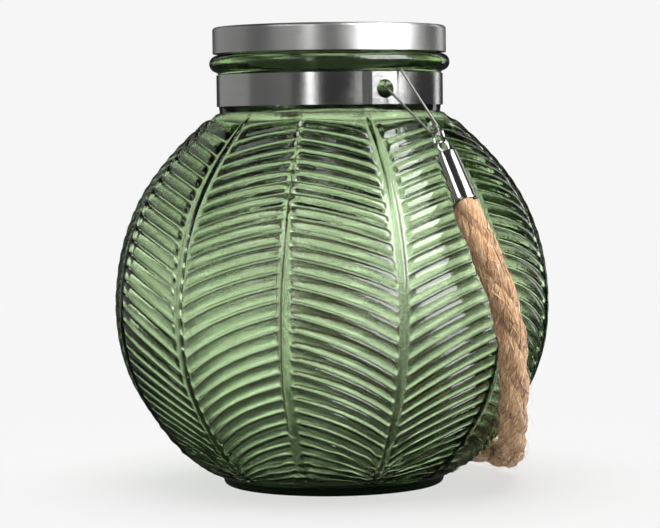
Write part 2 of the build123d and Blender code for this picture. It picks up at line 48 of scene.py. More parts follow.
# ---- jar: radius and height in millimetres, as in the CAD model ----
AXIS_R = 0.01  # the ring of points that stands for the axis
BELLY_Z = 78.4
BODY_OUTLINE = [
    (50.8, 4.6),
    (61.6, 11.8),
    (75.3, 26.8),
    (87.5, 47.5),
    (92.9, BELLY_Z),
    (89.0, 104.2),
    (80.0, 124.9),
    (66.2, 142.9),
    (55.5, 153.3),
    (50.0, 158.2),
]
WALL_SCALE = 0.958  # the hollow is the body outline shrunk by this about the belly
FOOT_R = 47.5
FOOT_ROUND = 2.0
RECESS_TOP = 1.2
FLOOR_TOP = 7.2
HOLLOW_ROWS = 28
SHOULDER_TOP = 158.0
NECK_R = 47.7
NECK_ROOT_R = 47.25
MOUTH_R = 43.2
BEAD_R = 51.5
BEAD_Z = 180.2
BEAD_HALF = 3.7
FINISH_R = 46.6
RIM_Z = 191.7
RIDGE_Z = 187.2
RIDGE_R = 47.8
RIDGE_HALF = 0.9
RIDGE_SPAN = 60.0  # degrees that each ridge runs round the finish
RIDGE_RUN_IN = 5.0  # degrees over which its ends rise
THREAD_LEAD = 16.0
THREAD_STARTS = 4
FINISH_FOOT = 184.6
FINISH_ROW = 0.42  # height between the rows of points that carry the thread
FINISH_ROWS = 15
RIM_ROUND = 1.1

# ---- leaf pattern pressed into the jar: six leaves, tips down ----
LEAVES = 6
LEAF_ANGLE = 360 / LEAVES
BORDER_AZIMUTH = -98.0  # degrees, middle of one border between two leaves
HALF_LEAF = 48.7  # belly length of half a leaf, from its border to its midrib
VEINS = 31
FIRST_VEIN = 3.0  # place along the wall where the lowest vein begins
LAST_VEIN_GAP = 1.2
VEIN_H = 0.72
VEIN_CROWN = 0.12  # share of a vein's height that its top is rounded by
VEIN_SHELF = 0.73  # share of a vein's half width where its flank starts
VEIN_HALF = 0.45  # half width as a share of the pitch
TOP_SHARE = (105.0, 140.0)  # places between which the veins take their shape at the shoulder
TOP_LOW_GROWS = 0.2  # how much wider a vein's lower flank gets there
TOP_HIGH_SHRINKS = 0.17  # how much narrower its upper flank gets
TOP_SHELF_SHRINKS = 0.2  # how much sooner its flanks start
TOP_RISE = 1.0  # how much higher the veins get there, as a share
TOP_TIP_GAP = 2.2  # how much further from the border the veins end there
MIDRIB_HALF = 3.1
MIDRIB_H = 1.25
MIDRIB_POWER = 3  # flatter on top than a border, whose power is 2
MIDRIB_END = (154.0, 164.0)  # places along the wall between which the midrib dies away
BORDER_HALF = 2.0
BORDER_H = 1.0
TIP_START = 1.7  # how far from the border a vein begins
TIP_ROUND = 2.2
MEAN_RELIEF = 0.6  # how far the pattern is sunk below the CAD wall
FOOT_FADE = 6.0  # place along the wall by which the pattern has its full height
NECK_FADE = 2.0  # the same, counted from the upper end
SKIN_LUMPS = 0.13  # how uneven the wall is everywhere
SKIN_SCALE = 0.11
FOOT_LUMPS = 1.3  # how uneven the pattern gets near the foot
FOOT_LUMP_SCALE = 0.36
FOOT_LUMPS_TOP = 45.0  # place along the wall where that begins
FOOT_LUMPS_RUN = 25.0
VEIN_BOW = (1.6, -0.7, 0.1)  # rise of a vein as a cubic in its share of the way to the midrib
VEIN_DROP = [  # height of a vein's root along the wall, and how far it falls to the border
    (0.0, 0.0),
    (8.0, 6.5),
    (20.0, 16.0),
    (38.0, 23.8),
    (52.0, 23.4),
    (81.0, 22.3),
    (92.0, 19.7),
    (104.0, 16.4),
    (116.0, 14.2),
    (129.0, 13.0),
    (155.0, 11.8),
    (169.0, 11.5),
    (176.0, 8.0),
    (182.4, 0.0),
]
BORDER_COLUMNS = [0, 0.7, 1.3, 1.7, 2.0, 2.6, 3.2, 4.1, 5.2, 6.4]
MIDRIB_COLUMNS = [40.5, 43.6, 45.6, 46.2, 46.9, 47.7]
COLUMNS = BORDER_COLUMNS + [11, 18.5, 26, 33.5] + MIDRIB_COLUMNS  # columns of points across half a leaf
FLANK_ROWS = [1.0, 0.72, 0.36, 0.0]  # rows of points down a vein's flank, as shares of it
PROBE = 0.05  # step along the wall that shows which way it faces

# ---- glass ----
GLASS_COLOUR = (0.234, 0.449, 0.02, 1)  # tint by depth
GLASS_DEPTH = 112.0
OUTER_ROUGH = 0.03
INNER_ROUGH = 0.1

# ---- rope handle: the route of part.py, in metres ----
ROPE_D = 0.012
ROPE_LAY = 0.066  # length in which a strand goes once round the rope
STRANDS = 3
STRAND_R = 0.0041
STRAND_SIDES = 40
YARN_LAY = 0.06  # length in which a yarn goes once round its strand
YARN_LINES = 4.5
YARN_SWELL = 0.04  # height of a yarn as a share of the strand's radius
LUMP_SWELL = 0.07
LUMP_SCALE = (2.6, 160)  # how fine the lumps are round a strand and along it
FINE_SWELL = 0.04
FINE_SCALE = (7, 420)
MEAN_SWELL = 0.03
STRAND_APART = 50  # keeps the lumps of one strand from matching the next
TAPER_RUN = 0.005  # stretch over which the rope narrows into a ferrule
TAPER_SHARE = 0.12
ROPE_FRONT = [
    (0.0172, -0.0876, 0.1215),
    (0.0185, -0.0945, 0.1100),
    (0.0232, -0.0986, 0.0955),
    (0.0294, -0.0989, 0.0790),
    (0.0342, -0.0956, 0.0625),
    (0.0386, -0.0886, 0.0465),
    (0.0446, -0.0776, 0.0315),
    (0.0534, -0.0608, 0.0198),
    (0.0634, -0.0425, 0.0128),
    (0.0742, -0.0205, 0.0090),
]
ROPE_BACK = [
    (0.0748, 0.0210, 0.0086),
    (0.0646, 0.0428, 0.0124),
    (0.0540, 0.0614, 0.0196),
    (0.0454, 0.0774, 0.0312),
    (0.0386, 0.0884, 0.0460),
    (0.0346, 0.0962, 0.0620),
    (0.0298, 0.0992, 0.0795),
    (0.0234, 0.0986, 0.0955),
    (0.0185, 0.0945, 0.1100),
    (0.0172, 0.0876, 0.1215),
]

# ---- fibres on the rope, in metres ----
FIBRES = 5400
FIBRE_SEED = 11
FIBRE_POINTS = 6
FIBRE_SIDES = 3
FIBRE_SPAN = (5, 18)  # how many steps of the rope's line a fibre runs along
FIBRE_CLEAR = 4  # steps kept free of fibres at each end of the rope
FIBRE_SLANT = 0.9  # spread of the angle that a fibre strays from its yarn, in radians
STRAY_EVERY = 8  # one fibre in so many stands out of the rope
STRAY_LIFT = (0.0006, 0.0034)
STRAY_R = (0.00005, 0.00008)
LAID_LIFT = (0.00003, 0.00038)
LAID_R = (0.00008, 0.00024)
STREAK_SCALE = 30  # what turns metres along the rope into the jute's own measure

# ---- ferrules: the sizes of part.py, in metres ----
FERRULE_LENGTH = 0.0234
FERRULE_TOP_R = 0.00465
FERRULE_MOUTH_R = 0.0054
FERRULE_ROUND = 0.0008
FERRULE_WALL = 0.0006
FERRULE_END = 0.001  # thickness of the closed end
FERRULE_HOLE_R = 0.0008  # hole for the eye
FERRULE_FLAT_R = 0.0022
FERRULE_SIDES = 64
LIP = 0.0002  # from the mouth to the rolled bead
BEAD_OUT = 0.00022
BEAD_LONG = 0.0009
BODY_START = 0.0013

# ---- studio ----
STAGE_SIDES = 96
WALL_R = 2.6
WALL_H = 1.5
WALL_LIGHT = 0.92
BACK_GAP = 0.05  # how far inside the wall the glow that shows through the glass stands
BACK_H = 1.0
BACK_LIGHT = 1.94
FLOOR_SHADE = 0.31
FLOOR_GLOW = 0.654
ROOM_LIGHT = 0.04

SOFT_BOXES = [  # name, bearing, elevation, distance, width and height, brightness
    ("key_right", 59, 33, 1.5, (1.25, 1.2), 9.5),
    ("key_halo", 60, 33, 1.6, (2.3, 1.5), 0.9),
    ("strip_left", -19, 18, 1.6, (0.12, 1.4), 3.4),
    ("strip_halo", -19, 18, 1.7, (0.5, 1.4), 0.25),
    ("strip_high", -44, 31, 1.6, (0.75, 0.45), 2.4),
    ("side_left", -62, 15, 1.8, (1.6, 1.3), 0.1),
    ("side_back", -118, 15, 1.8, (2.2, 1.3), 0.26),
    ("edge_right", 140, 12, 1.8, (0.3, 1.2), 1.2),
]

SUNS = [  # name, bearing, elevation, brightness, spread in degrees, pieces that it doesn't light
    ("side_sun", 50, 42, 5.4, 50, ["studio_floor"]),
    ("overhead", 0, 90, 2.6, 70, []),
]

# ---- camera ----
CAMERA_AZIMUTH = -26.0
CAMERA_DISTANCE = 1.064
CAMERA_EYE = 0.151  # height of the lens
CAMERA_AIM = Vector((0.0, 0.0, 0.094))
CAMERA_SIDE = -0.0007  # shift to the right, of the eye and of what it looks at
CAMERA_LENS = 135.0
SENSOR_WIDTH = 36.0
CAMERA_ROLL = 0.65


# ======================= mesh helpers =======================


def add_mesh(name, points, faces, smooth=True):
    """New mesh object in the scene."""
    mesh = bpy.data.meshes.new(name)
    mesh.from_pydata([tuple(point) for point in points], [], faces)
    mesh.validate()
    mesh.polygons.foreach_set("use_smooth", [smooth] * len(mesh.polygons))
    mesh.update()
    piece = bpy.data.objects.new(name, mesh)
    bpy.context.scene.collection.objects.link(piece)
    return piece


def spline_through(points, places):
    """Natural cubic spline through points, read at arc-like places from 0 to the chord total."""
    knots = np.array(points, float)
    steps = np.linalg.norm(np.diff(knots, axis=0), axis=1)
    at = np.concatenate([[0.0], np.cumsum(steps)])
    count = len(at)
    matrix = np.zeros((count, count))
    right = np.zeros((count, 2))
    matrix[0, 0] = matrix[-1, -1] = 1.0
    slopes = np.diff(knots, axis=0) / steps[:, None]
    for i in range(1, count - 1):
        matrix[i, i - 1 : i + 2] = steps[i - 1], 2 * (steps[i - 1] + steps[i]), steps[i]
        right[i] = 6 * (slopes[i] - slopes[i - 1])
    bend = np.linalg.solve(matrix, right)
    places = np.asarray(places, float)
    span = np.clip(np.searchsorted(at, places, side="right") - 1, 0, count - 2)
    width = steps[span][..., None]
    left = ((at[span + 1] - places) / steps[span])[..., None]
    rest = 1 - left
    line = left * knots[span] + rest * knots[span + 1]
    curve = (left**3 - left) * bend[span] + (rest**3 - rest) * bend[span + 1]
    return line + curve * width**2 / 6


def grid_faces(rows, columns, closed=True):
    """Quads of a grid of points stored row by row; closed joins the last column to the first."""
    faces = []
    last = columns if closed else columns - 1
    for row in range(rows - 1):
        for column in range(last):
            after = (column + 1) % columns
            low, high = row * columns, (row + 1) * columns
            faces.append((low + column, low + after, high + after, high + column))
    return faces


def transported_frames(points):
    """A side vector at each point of a line, carried along without twist, and the tangents."""
    tangents = []
    for i in range(len(points)):
        before = points[max(i - 1, 0)]
        after = points[min(i + 1, len(points) - 1)]
        tangents.append((after - before).normalized())
    side = tangents[0].orthogonal().normalized()
    sides = []
    for i, tangent in enumerate(tangents):
        if i:
            side = tangents[i - 1].rotation_difference(tangent) @ side
        side = (side - tangent * side.dot(tangent)).normalized()
        sides.append(side.copy())
    return sides, tangents


def tube_points(points, radius_at, around):
    """Rings of points round a line; radius_at(index, angle) gives the radius."""
    sides, tangents = transported_frames(points)
    rings = []
    for i, (point, side, tangent) in enumerate(zip(points, sides, tangents)):
        other = tangent.cross(side)
        for j in range(around):
            angle = 2 * math.pi * j / around
            reach = radius_at(i, angle)
            rings.append(point + (side * math.cos(angle) + other * math.sin(angle)) * reach)
    return rings


def nurbs_line(name, route, resolution=24):
    """Points of the smooth line through a route, read from its NURBS curve."""
    curve = bpy.data.curves.new(name, "CURVE")
    curve.dimensions = "3D"
    curve.resolution_u = resolution
    spline = curve.splines.new("NURBS")
    spline.points.add(len(route) - 1)
    for point, place in zip(spline.points, route):
        point.co = (*place, 1.0)
    spline.order_u = 3
    spline.use_endpoint_u = True
    holder = bpy.data.objects.new(name, curve)
    bpy.context.scene.collection.objects.link(holder)
    bpy.context.view_layer.update()
    mesh = bpy.data.meshes.new_from_object(holder)
    line = [vertex.co.copy() for vertex in mesh.vertices]
    bpy.data.objects.remove(holder)
    bpy.data.meshes.remove(mesh)
    return line


# ======================= material helpers =======================


class Finish:
    """A material with a Principled shader and short calls for the nodes that feed it."""

    def __init__(self, name, **sockets):
        self.material = bpy.data.materials.new(name)
        self.material.use_nodes = True
        self.tree = self.material.node_tree
        self.shader = self.tree.nodes["Principled BSDF"]
        for socket, value in sockets.items():
            self.shader.inputs[socket.replace("_", " ")].default_value = value

    def node(self, kind, **inputs):
        """New node; each input is a value, or a socket to link from."""
        made = self.tree.nodes.new(kind)
        for socket, value in inputs.items():
            place = made.inputs[socket.replace("_", " ")]
            if isinstance(value, bpy.types.NodeSocket):
                self.tree.links.new(value, place)
            else:
                place.default_value = value
        return made

    def link(self, source, socket):
        self.tree.links.new(source, self.shader.inputs[socket])

    def coords(self, stretch=(1.0, 1.0, 1.0)):
        place = self.node("ShaderNodeTexCoord").outputs["Object"]
        return self.node("ShaderNodeMapping", Vector=place, Scale=stretch).outputs["Vector"]

    def turned_coords(self, around, along):
        """Coordinates of angle about Z, height and radius, for marks that run round a turned part."""
        place = self.node("ShaderNodeTexCoord").outputs["Object"]
        parts = self.node("ShaderNodeSeparateXYZ", Vector=place)
        angle = self.tree.nodes.new("ShaderNodeMath")
        angle.operation = "ARCTAN2"
        self.tree.links.new(parts.outputs["Y"], angle.inputs[0])
        self.tree.links.new(parts.outputs["X"], angle.inputs[1])
        packed = self.node("ShaderNodeCombineXYZ", X=angle.outputs[0], Y=parts.outputs["Z"])
        scale = (around, along, 1.0)
        return self.node("ShaderNodeMapping", Vector=packed.outputs[0], Scale=scale).outputs[0]

    def noise(self, vector, scale, detail=3.0, roughness=0.5):
        made = self.node(
            "ShaderNodeTexNoise", Vector=vector, Scale=scale, Detail=detail, Roughness=roughness
        )
        return made.outputs["Fac"]

    def ramp(self, factor, stops):
        """Colour by a factor, from stops of (place, colour)."""
        made = self.node("ShaderNodeValToRGB", Fac=factor)
        band = made.color_ramp
        while len(band.elements) < len(stops):
            band.elements.new(0.5)
        for element, (place, colour) in zip(band.elements, stops):
            element.position = place
            element.color = (*colour, 1.0)
        return made.outputs["Color"]

    def spread(self, factor, low, high):
        """Map the range that a noise mostly fills to low and high."""
        made = self.node("ShaderNodeMapRange", Value=factor)
        made.inputs["From Min"].default_value = 0.3
        made.inputs["From Max"].default_value = 0.7
        made.inputs["To Min"].default_value = low
        made.inputs["To Max"].default_value = high
        return made.outputs["Result"]

    def bump(self, height, distance, strength=1.0):
        made = self.node("ShaderNodeBump", Height=height, Distance=distance, Strength=strength)
        self.link(made.outputs["Normal"], "Normal")
        return made


def clothe(node, finish):
    """Give a CAD node kept as it is a new material."""
    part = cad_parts[node]
    part.data.materials.clear()
    part.data.materials.append(finish.material)


def dress(piece, finish, body=None):
    """Material and body of a new piece."""
    piece.data.materials.append(finish.material)
    if body:
        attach(piece, body)
    return piece


# ======================= materials =======================


def glass_finish():
    """Green pressed glass: clear outside, a softly fire-finished inner wall, colour by depth."""
    glass = Finish("green_glass", Base_Color=(0.93, 0.97, 0.9, 1), IOR=1.5, Roughness=OUTER_ROUGH)
    glass.shader.inputs["Transmission Weight"].default_value = 1.0
    inner = glass.tree.nodes.new("ShaderNodeAttribute")
    inner.attribute_name = "inner_wall"
    rough = glass.node("ShaderNodeMapRange", Value=inner.outputs["Fac"])
    rough.inputs["To Min"].default_value = OUTER_ROUGH
    rough.inputs["To Max"].default_value = INNER_ROUGH
    glass.link(rough.outputs["Result"], "Roughness")
    waves = glass.noise(glass.coords(), 420.0, 3.0, 0.6)
    glass.bump(waves, 0.00016, 0.6)
    depth = glass.node("ShaderNodeVolumeAbsorption", Color=GLASS_COLOUR, Density=GLASS_DEPTH)
    output = glass.tree.nodes["Material Output"]
    glass.tree.links.new(depth.outputs["Volume"], output.inputs["Volume"])
    return glass


def brushed_finish(name, tint, roughness, anisotropy, inside=0.0, along=9000.0):
    """Sheet metal brushed round the circumference, with painted shade (a near-black base colour) within a
    radius of inside.
    """
    steel = Finish(name, Metallic=1.0, Anisotropic=anisotropy, Anisotropic_Rotation=0.25)
    lines = steel.noise(steel.turned_coords(1.5, along), 1.0, 4.0, 0.7)
    cloud = steel.noise(steel.coords(), 60.0, 3.0)
    low = tuple(channel * 0.86 for channel in tint)
    steel.link(steel.ramp(lines, [(0.3, low), (0.7, tint)]), "Base Color")
    if inside:
        paint_shade_inside(steel, inside)
    steel.link(steel.spread(cloud, roughness - 0.04, roughness + 0.05), "Roughness")
    tangent = steel.tree.nodes.new("ShaderNodeTangent")
    tangent.direction_type = "RADIAL"
    tangent.axis = "Z"
    steel.link(tangent.outputs["Tangent"], "Tangent")
    steel.bump(lines, 0.00003, 0.6)
    return steel


def paint_shade_inside(steel, radius):
    """Painted shade: near-black base colour on the sheet nearer the Z axis than a radius, where the band's
    inner face lies in shade.
    """
    place = steel.node("ShaderNodeTexCoord").outputs["Object"]
    flat = steel.node("ShaderNodeVectorMath", Vector=place)
    flat.operation = "MULTIPLY"
    flat.inputs[1].default_value = (1.0, 1.0, 0.0)
    reach = steel.tree.nodes.new("ShaderNodeVectorMath")
    reach.operation = "LENGTH"
    steel.tree.links.new(flat.outputs[0], reach.inputs[0])
    outside = steel.node("ShaderNodeMapRange", Value=reach.outputs["Value"])
    outside.inputs["From Min"].default_value = radius
    outside.inputs["From Max"].default_value = radius + 0.0001
    skin = steel.shader.inputs["Base Color"].links[0].from_socket
    mixed = steel.tree.nodes.new("ShaderNodeMix")
    mixed.data_type = "RGBA"
    steel.tree.links.new(outside.outputs[0], mixed.inputs[0])
    # painted shade colour for the inner face
    mixed.inputs[6].default_value = (0.05, 0.05, 0.045, 1)
    steel.tree.links.new(skin, mixed.inputs[7])
    steel.link(mixed.outputs[2], "Base Color")


def bright_finish(name, tint, roughness, scale=900.0):
    """Drawn or plated metal with a faintly uneven skin."""
    metal = Finish(name, Metallic=1.0)
    grain = metal.noise(metal.coords(), scale, 3.0)
    low = tuple(channel * 0.82 for channel in tint)
    metal.link(metal.ramp(grain, [(0.35, low), (0.65, tint)]), "Base Color")
    metal.link(metal.spread(grain, roughness * 0.8, roughness * 1.3), "Roughness")
    metal.bump(grain, 0.00002, 0.5)
    return metal


def jute_finish():
    """Twisted plant fibre: tan with paler and browner fibres along the strands."""
    jute = Finish("jute", Roughness=0.88)
    jute.shader.inputs["Specular IOR Level"].default_value = 0.25
    jute.shader.inputs["Sheen Weight"].default_value = 0.2
    jute.shader.inputs["Sheen Roughness"].default_value = 0.5
    fibre = jute.tree.nodes.new("ShaderNodeAttribute")
    fibre.attribute_name = "fibre_place"
    stretched = jute.node("ShaderNodeMapping", Vector=fibre.outputs["Vector"], Scale=(60.0, 9.0, 1.0))
    streaks = jute.noise(stretched.outputs[0], 1.0, 5.0, 0.65)
    tone = jute.tree.nodes.new("ShaderNodeAttribute")
    tone.attribute_name = "fibre_tone"
    mixed = jute.node("ShaderNodeMath")
    mixed.operation = "MULTIPLY_ADD"
    jute.tree.links.new(tone.outputs["Fac"], mixed.inputs[0])
    mixed.inputs[1].default_value = 0.85
    jute.tree.links.new(jute.spread(streaks, -0.34, 0.56), mixed.inputs[2])
    stops = [
        (0.1, (0.05, 0.018, 0.006)),
        (0.3, (0.30, 0.145, 0.06)),
        (0.6, (0.55, 0.33, 0.17)),
        (0.95, (0.86, 0.66, 0.44)),
    ]
    jute.link(jute.ramp(mixed.outputs[0], stops), "Base Color")
    jute.bump(streaks, 0.0006, 1.0)
    return jute


def plastic_finish(name, low, high, roughness, scale=700.0):
    """Moulded plastic with a fine spark-eroded grain."""
    plastic = Finish(name)
    cloud = plastic.noise(plastic.coords(), 45.0, 2.0)
    plastic.link(plastic.ramp(cloud, [(0.35, low), (0.65, high)]), "Base Color")
    grain = plastic.noise(plastic.coords(), scale, 2.0)
    plastic.link(plastic.spread(grain, roughness - 0.05, roughness + 0.06), "Roughness")
    plastic.bump(grain, 0.00004, 0.4)
    return plastic


def clear_finish(name, tint, ior=1.49):
    """Clear moulded plastic."""
    clear = Finish(name, IOR=ior)
    clear.shader.inputs["Transmission Weight"].default_value = 1.0
    cloud = clear.noise(clear.coords(), 50.0, 2.0)
    paler = tuple(min(1.0, channel * 1.04) for channel in tint)
    clear.link(clear.ramp(cloud, [(0.3, tint), (0.7, paler)]), "Base Color")
    clear.link(clear.spread(cloud, 0.03, 0.07), "Roughness")
    return clear


def panel_finish():
    """Dark blue silicon with silver grid lines."""
    panel = Finish("solar_cell", Roughness=0.2)
    place = panel.node("ShaderNodeTexCoord").outputs["Object"]
    parts = panel.node("ShaderNodeSeparateXYZ", Vector=place)
    lines = []
    for axis, pitch, half in (("X", 0.0025, 0.05), ("Y", 0.01, 0.04)):
        share = panel.node("ShaderNodeMath")
        share.operation = "DIVIDE"
        panel.tree.links.new(parts.outputs[axis], share.inputs[0])
        share.inputs[1].default_value = pitch
        back = panel.node("ShaderNodeMath")
        back.operation = "PINGPONG"
        panel.tree.links.new(share.outputs[0], back.inputs[0])
        back.inputs[1].default_value = 0.5
        below = panel.node("ShaderNodeMath")
        below.operation = "LESS_THAN"
        panel.tree.links.new(back.outputs[0], below.inputs[0])
        below.inputs[1].default_value = half
        lines.append(below.outputs[0])
    both = panel.node("ShaderNodeMath")
    both.operation = "MAXIMUM"
    panel.tree.links.new(lines[0], both.inputs[0])
    panel.tree.links.new(lines[1], both.inputs[1])
    crystals = panel.node("ShaderNodeTexVoronoi", Vector=panel.coords(), Scale=350.0)
    blue = panel.ramp(crystals.outputs["Distance"], [(0.0, (0.01, 0.018, 0.06)), (0.9, (0.02, 0.04, 0.13))])
    mixed = panel.node("ShaderNodeMix")
    mixed.data_type = "RGBA"
    panel.tree.links.new(both.outputs[0], mixed.inputs[0])
    panel.tree.links.new(blue, mixed.inputs[6])
    mixed.inputs[7].default_value = (0.5, 0.52, 0.55, 1)
    panel.link(mixed.outputs[2], "Base Color")
    return panel


def board_finish():
    """Green solder mask with paler copper traces under it."""
    board = Finish("board", Roughness=0.45)
    traces = board.node("ShaderNodeTexBrick", Vector=board.coords(), Scale=260.0)
    traces.inputs["Color1"].default_value = (0.012, 0.10, 0.03, 1)
    traces.inputs["Color2"].default_value = (0.014, 0.12, 0.035, 1)
    traces.inputs["Mortar"].default_value = (0.04, 0.22, 0.07, 1)
    board.link(traces.outputs["Color"], "Base Color")
    return board


def battery_finish():
    """Printed jacket in two bands and bare steel ends."""
    jacket = Finish("battery_jacket")
    place = jacket.node("ShaderNodeTexCoord").outputs["Object"]
    x = jacket.node("ShaderNodeSeparateXYZ", Vector=place).outputs["X"]
    low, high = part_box("battery")
    share = jacket.node("ShaderNodeMapRange", Value=x)
    share.inputs["From Min"].default_value = low.x
    share.inputs["From Max"].default_value = high.x
    stops = [
        (0.0, (0.6, 0.6, 0.6)),
        (0.02, (0.03, 0.10, 0.05)),
        (0.72, (0.55, 0.56, 0.52)),
        (0.96, (0.65, 0.65, 0.65)),
    ]
    colour = jacket.ramp(share.outputs[0], stops)
    colour.node.color_ramp.interpolation = "CONSTANT"
    jacket.link(colour, "Base Color")
    jacket.link(jacket.spread(jacket.noise(jacket.coords(), 200.0), 0.3, 0.4), "Roughness")
    return jacket


# ======================= the glass jar =======================


def wall_length():
    """Length of the body outline in millimetres, measured along its chords."""
    knots = np.array(BODY_OUTLINE)
    return float(np.linalg.norm(np.diff(knots, axis=0), axis=1).sum())


def column_table():
    """For each column round the jar: its angle, distance from the leaf border and from the midrib."""
    table = []
    for border in range(LEAVES):
        start = BORDER_AZIMUTH + border * LEAF_ANGLE
        for reach in COLUMNS:
            table.append((start + LEAF_ANGLE / 2 * reach / HALF_LEAF, reach))
        for reach in reversed(COLUMNS[1:] + [HALF_LEAF]):
            table.append((start + LEAF_ANGLE - LEAF_ANGLE / 2 * reach / HALF_LEAF, reach))
    return [(math.radians(angle), reach, HALF_LEAF - reach) for angle, reach in table]


def row_table(total):
    """Rows of the pressed pattern: place of the row at the midrib, and its place across a vein."""
    rows = [(0.0, None), (FIRST_VEIN * 0.5, None)]
    pitch = (total - FIRST_VEIN - LAST_VEIN_GAP) / VEINS
    for vein in range(VEINS):
        middle = FIRST_VEIN + (vein + 0.5) * pitch
        low, high = vein_halves(middle)
        shelf = vein_shelf(middle)
        flank = [shelf + (1 - shelf) * share for share in FLANK_ROWS]
        for across in [-spot for spot in flank] + [0.0] + flank[::-1]:
            rows.append((middle + across * pitch * (low if across < 0 else high), across))
        rows.append((middle + pitch * (1 - low + high) / 2, None))
    return rows


def top_share(place):
    """Nought on the belly, rising to one towards the shoulder."""
    start, end = TOP_SHARE
    return min(max((place - start) / (end - start), 0.0), 1.0)


def vein_halves(place):
    """Half widths of a vein below and above its middle, as shares of the pitch."""
    above = top_share(place)
    return VEIN_HALF + TOP_LOW_GROWS * above, VEIN_HALF - TOP_HIGH_SHRINKS * above


def vein_shelf(place):
    """Where a vein's flank starts, as a share of its half width."""
    return VEIN_SHELF - TOP_SHELF_SHRINKS * top_share(place)


def ridge(offset, half, height, power=2):
    """Rounded ridge, as high as given in its middle; a higher power makes its top flatter."""
    return height * max(1 - (offset / half) ** power, 0.0)


def leaf_relief(place, across, border, midrib):
    """Height of the pressed pattern over the valleys between the veins."""
    start, end = MIDRIB_END
    rib = 1 - min(max((place - start) / (end - start), 0.0), 1.0)
    height = ridge(midrib, MIDRIB_HALF, MIDRIB_H, MIDRIB_POWER) * rib
    height = max(height, ridge(border, BORDER_HALF, BORDER_H))
    top = top_share(place)
    tip_start = TIP_START + TOP_TIP_GAP * top
    if across is None or border < tip_start:
        return height
    tip = min((border - tip_start) / TIP_ROUND, 1.0)
    root = min(midrib / MIDRIB_HALF, 1.0)
    reach = math.sqrt(across**2 + (1 - tip) ** 2 + (1 - root) ** 2 * (1 - rib))
    shelf = vein_shelf(place)
    fall = min(max((reach - shelf) / (1 - shelf), 0.0), 1.0)
    curved = fall * fall * (3 - 2 * fall)
    crown = 1 - VEIN_CROWN * min(reach / shelf, 1.0) ** 2
    tall = VEIN_H * (1 + TOP_RISE * top)
    return max(height, tall * crown * (1 - curved + (curved - fall) * top))


def outer_wall(columns):
    """Rows of points of the patterned wall, from the foot to the shoulder."""
    total = wall_length()
    roots, drops = zip(*VEIN_DROP)
    points = []
    rows = row_table(total)
    for place, across in rows:
        drop = np.interp(place, roots, drops)
        fade = max(min(place / FOOT_FADE, (total - place) / NECK_FADE, 1.0), 0.0)
        for angle, border, midrib in columns:
            share = border / HALF_LEAF
            rise = VEIN_BOW[0] * share + VEIN_BOW[1] * share**2 + VEIN_BOW[2] * share**3
            here = place - drop * (1 - rise)
            rough = FOOT_LUMPS * min(max((FOOT_LUMPS_TOP - here) / FOOT_LUMPS_RUN, 0.0), 1.0)
            points.append((here, angle, fade, rough, leaf_relief(place, across, border, midrib)))
    places = np.array([point[0] for point in points])
    here = spline_through(BODY_OUTLINE, np.clip(places, 0, total))
    ahead = spline_through(BODY_OUTLINE, np.clip(places + PROBE, 0, total))
    behind = spline_through(BODY_OUTLINE, np.clip(places - PROBE, 0, total))
    along = ahead - behind
    along /= np.linalg.norm(along, axis=1)[:, None]
    made = []
    for (_, angle, fade, rough, relief), (radius, height), (run, climb) in zip(points, here, along):
        spot = Vector((math.cos(angle) * radius, math.sin(angle) * radius, height))
        lumps = SKIN_LUMPS * noise.noise(spot * SKIN_SCALE)
        lumps += rough * noise.noise(spot * FOOT_LUMP_SCALE)
        relief = (relief - MEAN_RELIEF + lumps) * fade
        radius += relief * climb
        height -= relief * run
        made.append((radius * math.cos(angle), radius * math.sin(angle), height))
    return made, len(rows)


def thread_height(angle, height):
    """Outward height of the four thread ridges on the finish."""
    best = 0.0
    for start in range(THREAD_STARTS):
        turn = (math.degrees(angle) - start * 360 / THREAD_STARTS) % 360
        if turn < RIDGE_SPAN:
            off = abs(height - RIDGE_Z - THREAD_LEAD * turn / 360)
            ends = min(turn / RIDGE_RUN_IN, (RIDGE_SPAN - turn) / RIDGE_RUN_IN, 1.0)
            best = max(best, max(0.0, 1 - (off / RIDGE_HALF) ** 2) * ends)
    return best * (RIDGE_R - FINISH_R)


def arc_points(centre, reach, start, end, count):
    """Points of a radius and height arc, angles in degrees."""
    made = []
    for step in range(count + 1):
        angle = math.radians(start + (end - start) * step / count)
        made.append((centre[0] + reach[0] * math.cos(angle), centre[1] + reach[1] * math.sin(angle)))
    return made


def hollow_outline():
    """Inner wall from the mouth down to the middle of the floor."""
    inner = []
    for radius, height in reversed(BODY_OUTLINE[1:-1]):
        inner.append((radius * WALL_SCALE, BELLY_Z + (height - BELLY_Z) * WALL_SCALE))
    line = [(MOUTH_R, SHOULDER_TOP)] + inner + [(53.0, 9.6), (44.0, FLOOR_TOP)]
    total = float(np.linalg.norm(np.diff(np.array(line), axis=0), axis=1).sum())
    wall = [tuple(spot) for spot in spline_through(line, np.linspace(0, total, HOLLOW_ROWS))]
    return wall + [(30.0, FLOOR_TOP), (12.0, FLOOR_TOP), (AXIS_R, FLOOR_TOP)]


def foot_outline():
    """Recess under the jar and the foot ring, from the axis out and up to the wall."""
    outline = [(radius, RECESS_TOP) for radius in (AXIS_R, 20.0, 38.0, 40.0)]
    outline += [(41.3, 0.6), (42.5, 0.0), (44.0, 0.0)]
    outline += arc_points((FOOT_R - FOOT_ROUND, FOOT_ROUND), (FOOT_ROUND, FOOT_ROUND), -90, 0, 5)
    return outline + [(FOOT_R + 0.1, 3.0), (FOOT_R + 0.8, 3.7), (FOOT_R + 2.0, 4.15)]


